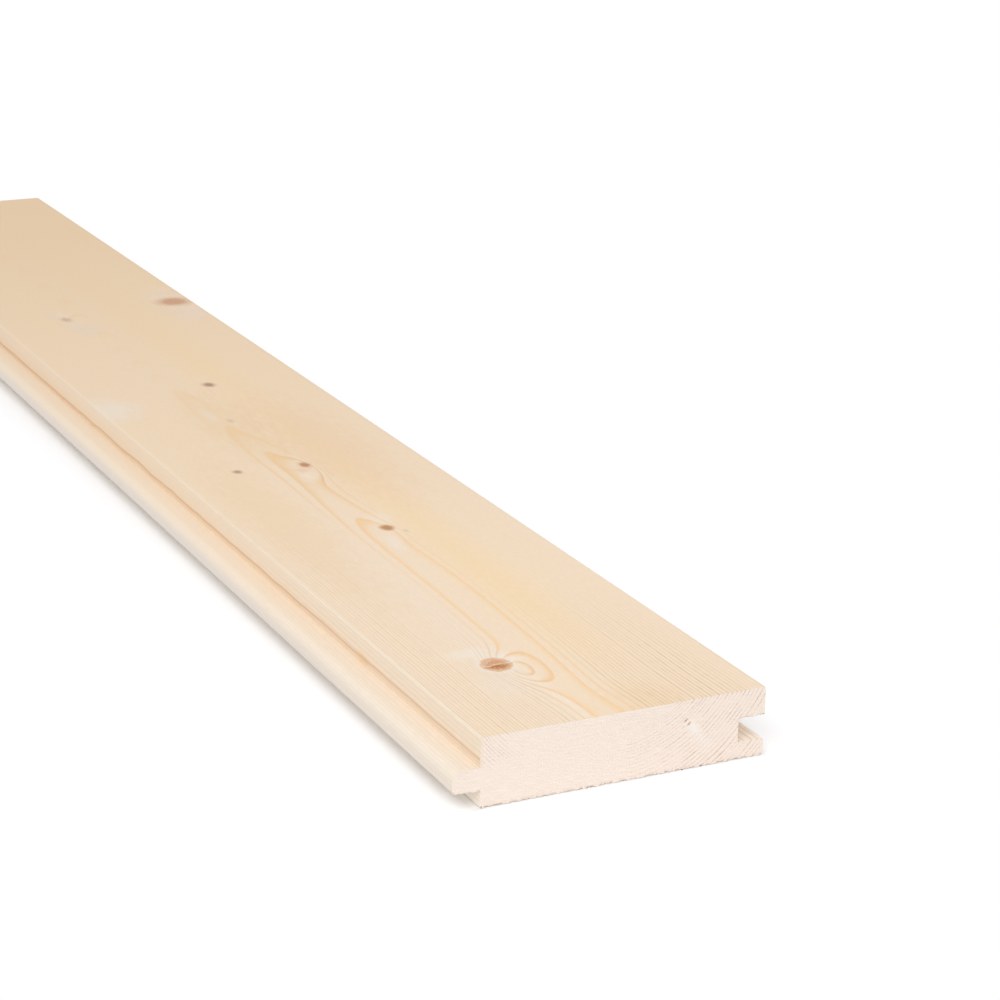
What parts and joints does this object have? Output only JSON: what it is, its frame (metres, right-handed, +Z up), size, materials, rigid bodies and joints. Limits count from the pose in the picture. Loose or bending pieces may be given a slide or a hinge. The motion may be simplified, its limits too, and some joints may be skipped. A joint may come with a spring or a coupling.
{
  "type": "floorboard",
  "caption": "Planed softwood floorboard with a tongue along its left edge, a matching groove along its right edge and square-sawn ends.",
  "frame": {"origin": "middle of the underside of the box round the board", "axes": "+X across the board from the tongue to the groove, +Y along the board, +Z up from the underside to the walked-on face"},
  "size_m": [0.121, 0.9, 0.026],
  "materials": {
    "planed_spruce": "satin"
  },
  "bodies": {
    "root": {"floorboard": "planed_spruce"}
  },
  "joints": []
}
